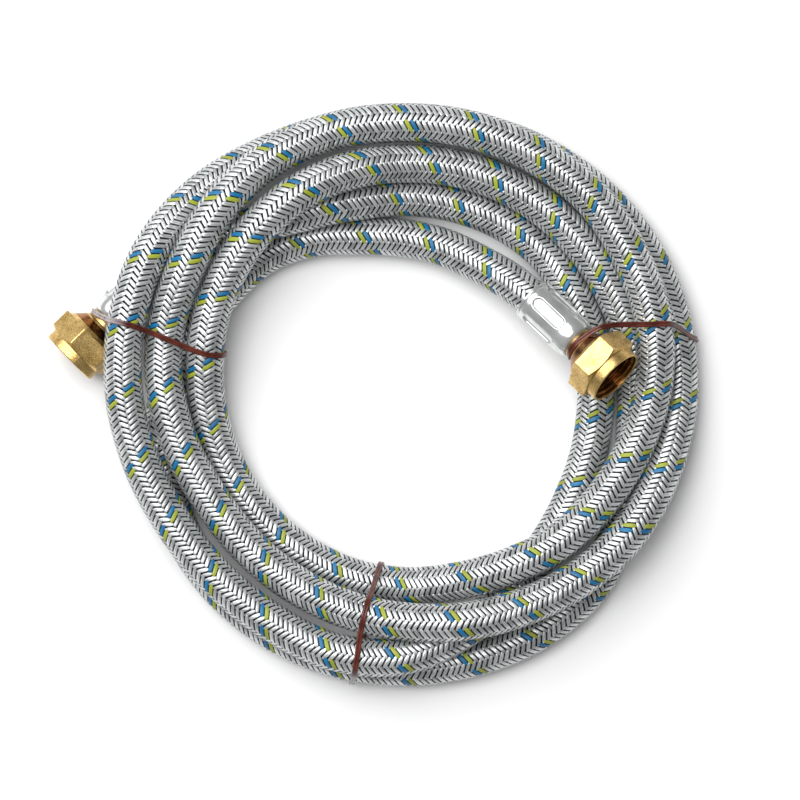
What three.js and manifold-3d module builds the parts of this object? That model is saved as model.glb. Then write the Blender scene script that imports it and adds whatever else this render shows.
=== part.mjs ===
// Flexible hose with a braided aluminium sleeve and a swivelling union nut at each end.
// It lies as a flat coil of a little over four turns, held by three ties.
// Millimetres, +Z up. The coil's eye is the centre for the angles of the route.
import * as THREE from 'three';
import { mergeVertices } from 'three/addons/utils/BufferGeometryUtils.js';
import Module from 'manifold-3d';

const wasm = await Module();
wasm.setup();

// Hose: an outer braid on a rubber liner
const HOSE_RADIUS = 7.2;
const BRAID_WALL = 0.85;
const LINER_WALL = 1.5;
const ASSEMBLY_GAP = 0.3;
const LINER_EXTRA_GAP = 0.04;
const BRAID_SIDES = 12;
const LINER_SIDES = 8;
const HOSE_STEPS = 116;
const STRAND_GAP = 0.3;
const FLOOR_GAP = 0.1;
const STRAIGHT_STEP = 8;
const STRAIGHT_PAST_FERRULE = 0.9;
const RELAX_ROUNDS = 60;

// Fittings: distances along a fitting are counted from the nut's open mouth towards the hose
const NUT_FLATS = 24;
const NUT_COLLAR_RADIUS = 11.4;
const NUT_COLLAR_LENGTH = 3.4;
const NUT_HEX_LENGTH = 8;
const NUT_CHAMFER_LENGTH = 1.1;
const NUT_SHOULDER_LENGTH = 3.6;
const NUT_REAR_RADIUS = 8.8;
const NUT_RIM_WIDTH = 1.1;
const NUT_THREAD_DEPTH = 10.2;
const NUT_EDGE_EASE = 0.1;
const STEM_NECK_RADIUS = 6;
const STEM_FLANGE_GAP = 1;
const STEM_FLANGE_THICKNESS = 2;
const STEM_BORE_RADIUS = 3.2;
const STEM_TAIL_LENGTH = 22;
const STEM_BARB_HEIGHT = 0.35;
const STEM_BARB_STEP = 0.4;
const STEM_BARB_SLOPE_SHARE = 0.6;
const STEM_BARBS = 2;
const NECK_LENGTH = 4.8;
const WASHER_THICKNESS = 2;
const WASHER_HOLE_RADIUS = 5;
const FERRULE_LENGTH = 25.8;
const FERRULE_RADIUS = 8.55;
const FERRULE_END_WALL = 1.6;
const FERRULE_SHOULDER_LENGTH = 4.4;
const FERRULE_NOSE_STEP = 0.6;
const FERRULE_LIP_LENGTH = 0.5;
const FERRULE_LIP_DROP = 0.4;
const RECESS_COUNT = 6;
const RECESS_LENGTH = 16.5;
const RECESS_WIDTH = 4.9;
const RECESS_DEPTH = 0.5;
const FERRULE_BORE_GAP = 0.5;
const RECESS_END_MARGIN = 2.4;
const TURNED_SEGMENTS = 24;
const CUT_MARGIN = 1;

// Ties: flat two-core wire round the strands
const TIE_WIDTH = 1.8;
const TIE_THICKNESS = 1.1;
const TIE_CLEARANCE = 0.6;
const TIE_END_GAP = 1;
const TIE_STEPS = 56;
const TIE_WRAP_POINTS = 24;
const TIE_SPAN_LENGTH = 5;

// Angles of the coil at which each tie crosses the strands, by their order along the hose,
// and its place on the fitting's neck
const LEFT_TIE = { strandsDeg: [285, 284, 282.5, 282], neckStation: 17.1 };
const BOTTOM_TIE = { strandsDeg: [188.3, 189.2, 187.6, 190.4] };
const RIGHT_TIE = { strandsDeg: [77.5, 79.5, 74.5, 77], neckStation: 16.6 };
const RIGHT_TIE_DETOUR = 11.5;
const RIGHT_TIE_SLANT = 1.6;
const RIGHT_TIE_DROP = 1.4;
const RIGHT_TIE_BEND_RADIUS = 0.2;

// Places of the two nuts' mouths, and the ways their axes run towards the hose
const LEFT_MOUTH = new THREE.Vector3(-127.3, 14.1, 14.2);
const LEFT_HEADING_DEG = 44.1;
const LEFT_TILT_DEG = 0;
const LEFT_NUT_ROLL_DEG = 17;
const RIGHT_MOUTH = new THREE.Vector3(80.5, 6.4, 36.1);
const RIGHT_HEADING_DEG = 136.2;
const RIGHT_TILT_DEG = -18;
const RIGHT_NUT_ROLL_DEG = 0;

// The box's centre and lowest point, seen from the coil's eye
const BASE_OFFSET = new THREE.Vector3(11.175, -0.045, -0.1);

// The route of the hose's centre line, from the left fitting to the right one.
// Each station is an angle in degrees, clockwise from +Y, a radius and a height.
const FIRST_TURN = [
  [-58.3, 101.3, 14.6], [-51.8, 95.8, 15.0], [-44.0, 88.5, 16.6], [-33.5, 81.2, 18.8],
  [-21.1, 77.0, 18.0], [-15, 76.0, 15.6], [0, 75.6, 9.8], [15, 75.8, 7.5], [30, 76.3, 7.4],
  [45, 76.6, 7.6], [60, 75.4, 9.0], [75, 74.3, 9.9], [90, 73.7, 9.0], [105, 74.1, 7.6],
  [120, 75.6, 7.4], [135, 79.0, 7.5], [150, 84.6, 8.6], [165, 92.0, 17.2], [180, 99.0, 23.2],
  [195, 100.8, 24.2], [210, 99.4, 22.8], [225, 99.0, 22.2], [240, 99.8, 22.6],
  [255, 102.4, 24.2], [270, 105.6, 27.9],
];
const SECOND_TURN = [
  [285, 108.2, 31.6], [300, 109.8, 28.9], [315, 108.6, 19.4], [330, 105.8, 10.8],
  [345, 104.3, 7.6], [360, 103.8, 7.4], [375, 104.6, 7.4], [390, 105.8, 7.4],
  [405, 106.8, 7.6], [420, 107.2, 9.0], [435, 106.6, 9.9], [450, 105.5, 11.0],
  [465, 103.2, 17.4], [480, 100.8, 22.3], [495, 96.8, 23.6], [510, 92.4, 27.8],
  [525, 88.6, 32.6], [540, 85.6, 31.0], [555, 84.0, 25.0], [570, 82.8, 20.4],
  [585, 82.4, 18.6], [600, 83.0, 19.0], [615, 86.0, 21.2], [630, 90.0, 22.7],
];
const THIRD_TURN = [
  [645, 93.2, 25.2], [660, 95.2, 31.9], [675, 99.3, 33.4], [690, 102.4, 27.4],
  [705, 103.7, 22.9], [720, 103.6, 22.3], [735, 104.0, 22.3], [750, 104.2, 22.3],
  [765, 103.4, 22.8], [780, 101.0, 24.2], [795, 98.8, 24.0], [810, 94.6, 22.6],
  [825, 89.4, 22.6], [840, 84.8, 22.2], [855, 80.8, 23.0], [870, 76.2, 22.3],
  [885, 73.6, 17.2], [900, 72.8, 11.2], [915, 72.2, 8.9], [930, 71.6, 7.5],
  [945, 71.6, 7.4], [960, 72.0, 7.8], [975, 73.2, 10.6], [990, 75.0, 16.6],
];
const FOURTH_TURN = [
  [1005, 77.6, 22.8], [1020, 80.2, 26.6], [1035, 83.0, 31.2], [1050, 85.6, 33.0],
  [1065, 87.2, 26.8], [1080, 88.0, 19.0], [1095, 88.8, 16.0], [1110, 89.2, 15.6],
  [1125, 89.2, 16.0], [1140, 89.2, 14.6], [1155, 89.4, 11.2], [1170, 89.0, 8.2],
  [1185, 90.6, 7.4], [1200, 96.4, 7.4], [1215, 102.4, 7.4], [1230, 104.0, 7.4],
  [1245, 104.0, 7.4], [1260, 104.0, 8.6], [1275, 103.8, 9.4], [1290, 103.0, 8.0],
  [1305, 101.6, 7.4], [1320, 99.2, 7.4], [1335, 95.2, 7.7], [1350, 89.8, 9.4],
  [1365, 84.0, 10.3], [1380, 78.8, 9.8], [1395, 75.2, 8.2], [1410, 69.2, 7.4],
  [1425, 63.0, 7.4], [1440, 60.0, 7.8], [1455, 58.6, 9.6], [1470, 57.9, 13.2],
  [1482, 59.2, 17.3],
];
const ROUTE = [...FIRST_TURN, ...SECOND_TURN, ...THIRD_TURN, ...FOURTH_TURN];

// Places along a fitting that follow from the sizes above
const NUT_LENGTH = NUT_COLLAR_LENGTH + NUT_HEX_LENGTH + NUT_SHOULDER_LENGTH;
const NUT_BORE_RADIUS = NUT_COLLAR_RADIUS - NUT_RIM_WIDTH;
const STEM_FLANGE_RADIUS = NUT_BORE_RADIUS - STEM_FLANGE_GAP;
const FERRULE_START = NUT_LENGTH + NECK_LENGTH;
const FERRULE_END = FERRULE_START + FERRULE_LENGTH;
const HOSE_END = FERRULE_START + FERRULE_END_WALL + ASSEMBLY_GAP;
const BRAID_BORE_RADIUS = HOSE_RADIUS - BRAID_WALL;
const LINER_RADIUS = BRAID_BORE_RADIUS - (ASSEMBLY_GAP + LINER_EXTRA_GAP) / Math.cos(Math.PI / LINER_SIDES);
const LINER_BORE_RADIUS = LINER_RADIUS - LINER_WALL;
const LINER_BORE_FLAT = LINER_BORE_RADIUS * Math.cos(Math.PI / LINER_SIDES);
const STEM_TAIL_RADIUS = LINER_BORE_FLAT - ASSEMBLY_GAP - STEM_BARB_HEIGHT;
const FIXED_VERTICES = 2;
const radians = THREE.MathUtils.degToRad;

const MATERIALS = {
  braid: { color: 0xc9cbce, roughness: 0.42, metalness: 0.85 },
  liner: { color: 0x1c1c1d, roughness: 0.8, metalness: 0 },
  steel: { color: 0xd4d8d6, roughness: 0.22, metalness: 1 },
  brass: { color: 0xd2a544, roughness: 0.34, metalness: 1 },
  washer: { color: 0x202022, roughness: 0.75, metalness: 0 },
  tie: { color: 0x6b3a33, roughness: 0.3, metalness: 0 },
};

function makeMesh(name, geometry, finish) {
  const mesh = new THREE.Mesh(geometry, new THREE.MeshStandardMaterial(MATERIALS[finish]));
  mesh.name = name;
  return mesh;
}

// Closed solids for cuts and joins

function toSolid(geometry) {
  const bare = geometry.clone();
  bare.deleteAttribute('normal');
  bare.deleteAttribute('uv');
  const merged = mergeVertices(bare);
  const vertProperties = new Float32Array(merged.attributes.position.array);
  const triVerts = new Uint32Array(merged.index.array);
  return new wasm.Manifold(new wasm.Mesh({ numProp: 3, vertProperties, triVerts }));
}

function toGeometry(solid) {
  const mesh = solid.getMesh();
  const geometry = new THREE.BufferGeometry();
  geometry.setAttribute('position', new THREE.BufferAttribute(new Float32Array(mesh.vertProperties), 3));
  geometry.setIndex(new THREE.BufferAttribute(new Uint32Array(mesh.triVerts), 1));
  geometry.computeVertexNormals();
  return geometry;
}

// A ring turned about local Z: outline is [radius, distance] pairs, up its outside and down its bore
function turnedRing(outline) {
  const points = [...outline, outline[0]].map(([radius, along]) => new THREE.Vector2(radius, along));
  const geometry = new THREE.LatheGeometry(points, TURNED_SEGMENTS);
  geometry.rotateX(Math.PI / 2);
  return geometry;
}

function polygonPoints(radius, sides) {
  const points = [];
  for (let i = 0; i < sides; i += 1) {
    const angle = (2 * Math.PI * i) / sides;
    points.push(new THREE.Vector2(radius * Math.cos(angle), radius * Math.sin(angle)));
  }
  return points;
}

// Route and hose

function stationPoint([angleDeg, radius, height]) {
  const angle = radians(angleDeg);
  return new THREE.Vector3(radius * Math.sin(angle), radius * Math.cos(angle), height);
}

function axisDirection(headingDeg, tiltDeg) {
  const heading = radians(headingDeg);
  const tilt = radians(tiltDeg);
  const level = Math.cos(tilt);
  return new THREE.Vector3(level * Math.cos(heading), level * Math.sin(heading), Math.sin(tilt));
}

function alongFitting(end, distance) {
  return end.mouth.clone().addScaledVector(end.axis, distance);
}

function hoseRoute(left, right) {
  const straight = [0, 1, 2].map((step) => HOSE_END + step * STRAIGHT_STEP);
  straight.push(FERRULE_END + STRAIGHT_PAST_FERRULE);
  const points = [
    ...straight.map((distance) => alongFitting(left, distance)),
    ...ROUTE.map(stationPoint),
    ...straight.map((distance) => alongFitting(right, distance)).reverse(),
  ];
  const curve = new THREE.CatmullRomCurve3(points, false, 'centripetal');
  curve.arcLengthDivisions = 4000;
  return curve;
}

// A path that is straight from vertex to vertex
class SteppedPath extends THREE.Curve {
  constructor(vertices) {
    super();
    this.vertices = vertices;
  }

  getPoint(t, target = new THREE.Vector3()) {
    const last = this.vertices.length - 1;
    const place = THREE.MathUtils.clamp(t, 0, 1) * last;
    const index = Math.min(Math.floor(place), last - 1);
    return target.lerpVectors(this.vertices[index], this.vertices[index + 1], place - index);
  }

  getUtoTmapping(u) {
    return u;
  }
}

// Strands that pass too close are pushed apart a little, so that every crossing keeps its gap
function relaxedSpine(vertices) {
  const spine = vertices.map((vertex) => vertex.clone());
  for (let round = 0; round < RELAX_ROUNDS; round += 1) {
    for (let i = 0; i + 1 < spine.length; i += 1) {
      for (let j = i + 3; j + 1 < spine.length; j += 1) {
        pushApart(spine, i, j);
      }
    }
    spine.forEach((vertex) => vertex.setZ(Math.max(vertex.z, HOSE_RADIUS + FLOOR_GAP)));
  }
  return spine;
}

function pushApart(spine, i, j) {
  const wanted = 2 * HOSE_RADIUS + STRAND_GAP;
  const middles = spine[i].distanceTo(spine[j]);
  if (middles > 4 * wanted) {
    return;
  }
  const [s, t] = closestPlaces(spine[i], spine[i + 1], spine[j], spine[j + 1]);
  const from = spine[i].clone().lerp(spine[i + 1], s);
  const away = spine[j].clone().lerp(spine[j + 1], t).sub(from);
  const short = wanted - away.length();
  if (short <= 0) {
    return;
  }
  away.setLength(short / 2);
  moveSegment(spine, i, s, away.clone().negate());
  moveSegment(spine, j, t, away);
}

function moveSegment(spine, index, place, move) {
  const weights = [1 - place, place];
  const total = weights[0] ** 2 + weights[1] ** 2;
  weights.forEach((weight, k) => {
    const vertex = index + k;
    if (vertex >= FIXED_VERTICES && vertex < spine.length - FIXED_VERTICES) {
      spine[vertex].addScaledVector(move, weight / total);
    }
  });
}

// Places, from 0 to 1, at which two straight pieces are closest
function closestPlaces(a, b, c, d) {
  const u = b.clone().sub(a);
  const v = d.clone().sub(c);
  const w = a.clone().sub(c);
  const uu = u.dot(u);
  const uv = u.dot(v);
  const vv = v.dot(v);
  const lever = Math.max(uu * vv - uv * uv, 1e-9);
  let s = THREE.MathUtils.clamp((uv * v.dot(w) - vv * u.dot(w)) / lever, 0, 1);
  const t = THREE.MathUtils.clamp((s * uv + v.dot(w)) / vv, 0, 1);
  s = THREE.MathUtils.clamp((t * uv - u.dot(w)) / uu, 0, 1);
  return [s, t];
}

function hoseTube(spine, outerRadius, outerSides, innerRadius, innerSides) {
  const section = new THREE.Shape(polygonPoints(outerRadius, outerSides));
  section.holes.push(new THREE.Path(polygonPoints(innerRadius, innerSides)));
  const extrudePath = new SteppedPath(spine);
  return new THREE.ExtrudeGeometry(section, { steps: spine.length - 1, extrudePath });
}

// Union nut: a hexagon turned down to a thin collar in front and a rounded shoulder behind
function unionNutGeometry() {
  const cornerRadius = NUT_FLATS / Math.sqrt(3);
  const hexStart = NUT_COLLAR_LENGTH;
  const hexEnd = hexStart + NUT_HEX_LENGTH;
  const flatRadius = NUT_FLATS / 2;
  const shoulderRadius = flatRadius - NUT_EDGE_EASE;
  const neckHole = STEM_NECK_RADIUS + ASSEMBLY_GAP;
  const outline = [
    [NUT_BORE_RADIUS, 0],
    [NUT_COLLAR_RADIUS, 0],
    [NUT_COLLAR_RADIUS, hexStart],
    [flatRadius + 2 * NUT_EDGE_EASE, hexStart],
    [cornerRadius + NUT_EDGE_EASE, hexStart + NUT_CHAMFER_LENGTH],
    [cornerRadius + NUT_EDGE_EASE, hexEnd - NUT_CHAMFER_LENGTH],
    [shoulderRadius, hexEnd],
  ];
  const shoulderSteps = 4;
  for (let i = 1; i <= shoulderSteps; i += 1) {
    const turn = (Math.PI / 2) * (i / shoulderSteps);
    const drop = (shoulderRadius - NUT_REAR_RADIUS) * (1 - Math.cos(turn));
    outline.push([shoulderRadius - drop, hexEnd + NUT_SHOULDER_LENGTH * Math.sin(turn)]);
  }
  outline.push([neckHole, NUT_LENGTH], [neckHole, NUT_THREAD_DEPTH], [NUT_BORE_RADIUS, NUT_THREAD_DEPTH]);
  const hexagon = new THREE.Shape(polygonPoints(cornerRadius, 6));
  const depth = NUT_LENGTH + 2 * CUT_MARGIN;
  const bar = new THREE.ExtrudeGeometry(hexagon, { depth, bevelEnabled: false });
  bar.translate(0, 0, -CUT_MARGIN);
  return toGeometry(toSolid(turnedRing(outline)).intersect(toSolid(bar)));
}

// Stem: flange inside the nut, neck through it, and a barbed tail inside the liner
function stemGeometry() {
  const flangeRear = NUT_THREAD_DEPTH - ASSEMBLY_GAP;
  const neckEnd = FERRULE_START - ASSEMBLY_GAP;
  const tailEnd = neckEnd + STEM_TAIL_LENGTH;
  const barbPitch = (STEM_TAIL_LENGTH - FERRULE_END_WALL) / (STEM_BARBS + 1);
  const outline = [
    [STEM_BORE_RADIUS, flangeRear - STEM_FLANGE_THICKNESS],
    [STEM_FLANGE_RADIUS, flangeRear - STEM_FLANGE_THICKNESS],
    [STEM_FLANGE_RADIUS, flangeRear],
    [STEM_NECK_RADIUS, flangeRear],
    [STEM_NECK_RADIUS, neckEnd],
    [STEM_TAIL_RADIUS, neckEnd],
  ];
  for (let i = STEM_BARBS; i >= 1; i -= 1) {
    const barb = tailEnd - i * barbPitch;
    outline.push([STEM_TAIL_RADIUS, barb - STEM_BARB_STEP]);
    outline.push([STEM_TAIL_RADIUS + STEM_BARB_HEIGHT, barb]);
    outline.push([STEM_TAIL_RADIUS, barb + barbPitch * STEM_BARB_SLOPE_SHARE]);
  }
  outline.push([STEM_TAIL_RADIUS, tailEnd], [STEM_BORE_RADIUS, tailEnd]);
  return turnedRing(outline);
}

function washerGeometry() {
  const rear = NUT_THREAD_DEPTH - 2 * ASSEMBLY_GAP - STEM_FLANGE_THICKNESS;
  return turnedRing([
    [WASHER_HOLE_RADIUS, rear - WASHER_THICKNESS],
    [STEM_FLANGE_RADIUS, rear - WASHER_THICKNESS],
    [STEM_FLANGE_RADIUS, rear],
    [WASHER_HOLE_RADIUS, rear],
  ]);
}

// Ferrule: a pressed cup over the hose's end, with long round-ended recesses round it
function ferruleGeometry() {
  const bore = HOSE_RADIUS + FERRULE_BORE_GAP;
  const hole = STEM_TAIL_RADIUS + ASSEMBLY_GAP;
  const noseRadius = STEM_NECK_RADIUS + FERRULE_NOSE_STEP;
  const outline = [[hole, FERRULE_START], [noseRadius, FERRULE_START]];
  const shoulderSteps = 3;
  for (let i = 1; i <= shoulderSteps; i += 1) {
    const turn = (Math.PI / 2) * (i / shoulderSteps);
    outline.push([
      noseRadius + (FERRULE_RADIUS - noseRadius) * Math.sin(turn),
      FERRULE_START + FERRULE_SHOULDER_LENGTH * (1 - Math.cos(turn)),
    ]);
  }
  outline.push([FERRULE_RADIUS, FERRULE_END - FERRULE_LIP_LENGTH]);
  outline.push([FERRULE_RADIUS - FERRULE_LIP_DROP, FERRULE_END]);
  outline.push([bore, FERRULE_END], [bore, FERRULE_START + FERRULE_END_WALL]);
  outline.push([hole, FERRULE_START + FERRULE_END_WALL]);
  let ferrule = toSolid(turnedRing(outline));
  for (let i = 0; i < RECESS_COUNT; i += 1) {
    ferrule = ferrule.subtract(toSolid(recessCutter((2 * Math.PI * i) / RECESS_COUNT)));
  }
  return toGeometry(ferrule);
}

// One recess: a stadium shape pressed in from outside, lying along the ferrule
function recessCutter(angle) {
  const half = RECESS_WIDTH / 2;
  const reach = RECESS_LENGTH / 2 - half;
  const stadium = new THREE.Shape();
  stadium.absarc(reach, 0, half, -Math.PI / 2, Math.PI / 2, false);
  stadium.absarc(-reach, 0, half, Math.PI / 2, 1.5 * Math.PI, false);
  stadium.closePath();
  const depth = RECESS_DEPTH + CUT_MARGIN;
  const cutter = new THREE.ExtrudeGeometry(stadium, { depth, bevelEnabled: false, curveSegments: 4 });
  cutter.rotateY(-Math.PI / 2);
  cutter.rotateZ(Math.PI);
  cutter.translate(FERRULE_RADIUS - RECESS_DEPTH, 0, FERRULE_END - RECESS_END_MARGIN - RECESS_LENGTH / 2);
  cutter.rotateZ(angle + Math.PI / 2);
  return cutter;
}

// A fitting's pieces share one local frame: mouth at the origin, +Z towards the hose
function makeFitting(end) {
  const group = new THREE.Group();
  const side = new THREE.Vector3(0, 0, 1).cross(end.axis).normalize();
  const top = end.axis.clone().cross(side);
  group.quaternion.setFromRotationMatrix(new THREE.Matrix4().makeBasis(side, top, end.axis));
  group.position.copy(end.mouth);
  const nut = makeMesh(`${end.name}_union_nut`, unionNutGeometry(), 'brass');
  nut.rotation.z = radians(end.rollDeg);
  group.add(
    nut,
    makeMesh(`${end.name}_seal_washer`, washerGeometry(), 'washer'),
    makeMesh(`${end.name}_stem`, stemGeometry(), 'brass'),
    makeMesh(`${end.name}_ferrule`, ferruleGeometry(), 'steel'),
  );
  return group;
}

// Ties

// Where the hose's strands pass a tie, in order along the hose: place, direction and radius
function strandsAt(spine, strandsDeg) {
  const strands = [];
  for (let i = FIXED_VERTICES; i + 1 < spine.length && strands.length < strandsDeg.length; i += 1) {
    const before = turnedFrom(spine[i], strandsDeg[strands.length]);
    const after = turnedFrom(spine[i + 1], strandsDeg[strands.length]);
    if (before <= 0 && after > 0 && after - before < Math.PI) {
      const centre = spine[i].clone().lerp(spine[i + 1], before / (before - after));
      const axis = spine[i + 1].clone().sub(spine[i]).normalize();
      strands.push({ centre, axis, radius: HOSE_RADIUS });
    }
  }
  return strands;
}

function turnedFrom(point, angleDeg) {
  const offset = Math.atan2(point.x, point.y) - radians(angleDeg);
  return Math.atan2(Math.sin(offset), Math.cos(offset));
}

// A tie is pulled tight round its strands and the neck, each wrap square to what it wraps
function tieGeometry(pulleys) {
  const outward = pulleys[0].centre.clone().setZ(0).normalize();
  const hull = tightLoop(pulleys.flatMap((pulley) => wrapPoints(pulley, outward)));
  const start = widestUndersideEdge(hull);
  const loop = [...hull.slice(start + 1), ...hull.slice(0, start + 1)].map(({ point }) => point);
  const first = loop[0];
  const last = loop[loop.length - 1];
  const middle = first.clone().lerp(last, 0.5);
  const half = first.clone().sub(last).setLength(TIE_END_GAP / 2);
  const points = [middle.clone().add(half), ...loop, middle.clone().sub(half)];
  const path = new THREE.CatmullRomCurve3(splitSpans(points), false, 'centripetal');
  return new THREE.ExtrudeGeometry(tieSection(), { steps: TIE_STEPS, extrudePath: path });
}

function wrapPoints({ centre, axis, radius }, outward) {
  const points = [];
  for (let i = 0; i < TIE_WRAP_POINTS; i += 1) {
    const turn = (2 * Math.PI * i) / TIE_WRAP_POINTS;
    const reach = outward.clone().multiplyScalar(Math.cos(turn));
    reach.z += Math.sin(turn);
    reach.addScaledVector(axis, -reach.dot(axis)).normalize();
    const point = centre.clone().addScaledVector(reach, radius + TIE_CLEARANCE + TIE_THICKNESS / 2);
    points.push({ point, across: point.dot(outward), height: point.z });
  }
  return points;
}

// Convex outline of the points seen along the strands, anticlockwise with outward to the right
function tightLoop(points) {
  const sorted = [...points].sort((a, b) => a.across - b.across || a.height - b.height);
  const lower = outlineSide(sorted);
  const upper = outlineSide([...sorted].reverse());
  return [...lower.slice(0, -1), ...upper.slice(0, -1)];
}

function outlineSide(sorted) {
  const side = [];
  sorted.forEach((next) => {
    while (side.length >= 2 && turnOf(side[side.length - 2], side[side.length - 1], next) <= 0) {
      side.pop();
    }
    side.push(next);
  });
  return side;
}

function turnOf(a, b, c) {
  return (b.across - a.across) * (c.height - b.height) - (b.height - a.height) * (c.across - b.across);
}

function widestUndersideEdge(hull) {
  let widest = 0;
  let index = 0;
  hull.forEach((from, i) => {
    const to = hull[(i + 1) % hull.length];
    if (to.across - from.across > widest) {
      widest = to.across - from.across;
      index = i;
    }
  });
  return index;
}

function splitSpans(points) {
  const split = [points[0]];
  for (let i = 1; i < points.length; i += 1) {
    const from = points[i - 1];
    const pieces = Math.ceil(from.distanceTo(points[i]) / TIE_SPAN_LENGTH);
    for (let j = 1; j <= pieces; j += 1) {
      split.push(from.clone().lerp(points[i], j / pieces));
    }
  }
  return split;
}

function tieSection() {
  const thin = TIE_THICKNESS / 2;
  const wide = TIE_WIDTH / 2;
  return new THREE.Shape([
    new THREE.Vector2(-thin, -wide),
    new THREE.Vector2(thin, -wide),
    new THREE.Vector2(thin, wide),
    new THREE.Vector2(-thin, wide),
  ]);
}

function neckPulley(end, station) {
  return { centre: alongFitting(end, station), axis: end.axis, radius: STEM_NECK_RADIUS };
}

// The right tie leaves the neck square to it, past the nut, before it turns to the strands
function detourPulley(end, station) {
  const square = new THREE.Vector3(-end.axis.y, end.axis.x, 0).normalize();
  const centre = alongFitting(end, station + RIGHT_TIE_SLANT).addScaledVector(square, -RIGHT_TIE_DETOUR);
  centre.z += STEM_NECK_RADIUS - RIGHT_TIE_DROP;
  return { centre, axis: end.axis, radius: RIGHT_TIE_BEND_RADIUS };
}

const left = {
  name: 'left',
  mouth: LEFT_MOUTH,
  axis: axisDirection(LEFT_HEADING_DEG, LEFT_TILT_DEG),
  rollDeg: LEFT_NUT_ROLL_DEG,
};
const right = {
  name: 'right',
  mouth: RIGHT_MOUTH,
  axis: axisDirection(RIGHT_HEADING_DEG, RIGHT_TILT_DEG),
  rollDeg: RIGHT_NUT_ROLL_DEG,
};

const route = hoseRoute(left, right);
const spine = relaxedSpine(route.getSpacedPoints(HOSE_STEPS));
const braid = hoseTube(spine, HOSE_RADIUS, BRAID_SIDES, BRAID_BORE_RADIUS, LINER_SIDES);
const liner = hoseTube(spine, LINER_RADIUS, LINER_SIDES, LINER_BORE_RADIUS, LINER_SIDES);
const leftPulleys = [
  ...strandsAt(spine, LEFT_TIE.strandsDeg),
  neckPulley(left, LEFT_TIE.neckStation),
];
const bottomPulleys = strandsAt(spine, BOTTOM_TIE.strandsDeg);
const rightPulleys = [
  ...strandsAt(spine, RIGHT_TIE.strandsDeg),
  neckPulley(right, RIGHT_TIE.neckStation),
  detourPulley(right, RIGHT_TIE.neckStation),
];

const hose = new THREE.Group();
hose.position.copy(BASE_OFFSET);
hose.add(
  makeMesh('braided_sleeve', braid, 'braid'),
  makeMesh('inner_liner', liner, 'liner'),
  makeFitting(left),
  makeFitting(right),
  makeMesh('left_tie', tieGeometry(leftPulleys), 'tie'),
  makeMesh('bottom_tie', tieGeometry(bottomPulleys), 'tie'),
  makeMesh('right_tie', tieGeometry(rightPulleys), 'tie'),
);

export default hose;
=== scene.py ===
import math

import bmesh
import bpy
import numpy as np
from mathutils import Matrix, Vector


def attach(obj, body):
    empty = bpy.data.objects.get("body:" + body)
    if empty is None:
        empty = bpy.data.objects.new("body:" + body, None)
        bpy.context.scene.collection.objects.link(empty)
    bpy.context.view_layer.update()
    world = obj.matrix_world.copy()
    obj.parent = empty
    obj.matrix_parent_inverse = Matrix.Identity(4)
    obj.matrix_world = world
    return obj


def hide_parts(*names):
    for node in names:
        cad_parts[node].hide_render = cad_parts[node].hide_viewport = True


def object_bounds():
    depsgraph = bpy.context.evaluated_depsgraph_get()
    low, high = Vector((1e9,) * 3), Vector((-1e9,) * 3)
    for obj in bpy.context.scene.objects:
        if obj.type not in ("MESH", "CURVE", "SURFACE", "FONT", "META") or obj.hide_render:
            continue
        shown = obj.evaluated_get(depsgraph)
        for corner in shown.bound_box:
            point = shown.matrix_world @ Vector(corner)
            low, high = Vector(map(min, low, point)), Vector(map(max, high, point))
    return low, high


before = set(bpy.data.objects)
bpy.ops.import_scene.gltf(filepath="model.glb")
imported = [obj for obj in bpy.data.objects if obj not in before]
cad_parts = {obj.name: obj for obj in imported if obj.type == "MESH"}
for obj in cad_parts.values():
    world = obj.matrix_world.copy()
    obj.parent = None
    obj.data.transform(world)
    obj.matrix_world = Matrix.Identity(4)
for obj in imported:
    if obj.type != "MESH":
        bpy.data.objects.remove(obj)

# A coiled hose with a woven aluminium sleeve, seen from straight above.
# Lengths are in metres; values in millimetres are multiplied by MM.
cad_low, cad_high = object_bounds()
MM = 0.001

# View: the photograph's scale and its middle, seen from the coil's eye
PHOTO_SCALE = 0.38 * MM
IMAGE_PIXELS = 800
VIEW_OFFSET = Vector((-1.14, -1.9, 0)) * MM
CAMERA_HEIGHT = 2.2
FOCUS_HEIGHT = 20 * MM

# The coil's eye in the part's frame
COIL_EYE = Vector((11.175, -0.045, -0.1)) * MM

UP = np.array((0.0, 0.0, 1.0))

# Hose
HOSE_RADIUS = 7.3 * MM
CORE_RADIUS = 6.72 * MM
STRAIGHT_STEP = 8 * MM
STRAIGHT_PAST_FERRULE = 0.9 * MM
ROUTE_SPACING = 4 * MM
ROUTE_CURVE_STEPS = 24
FRAME_SPACING = 1 * MM
FRAME_CURVE_STEPS = 8

# Strands that meet: the hose doesn't push itself within its own stretch, and each push is
# spread over the points near it by a bell whose reach and width are counted in points
STRAND_GAP = 0.12 * MM
FLOOR_CLEARANCE = 0.15 * MM
OWN_STRETCH = 60 * MM
RELAX_ROUNDS = 120
RELAX_TOLERANCE = 0.01 * MM
RELAX_SHARE = 0.6
OWN_PUSH = 0.5
BELL_REACH = 4
BELL_WIDTH = 1.8

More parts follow.
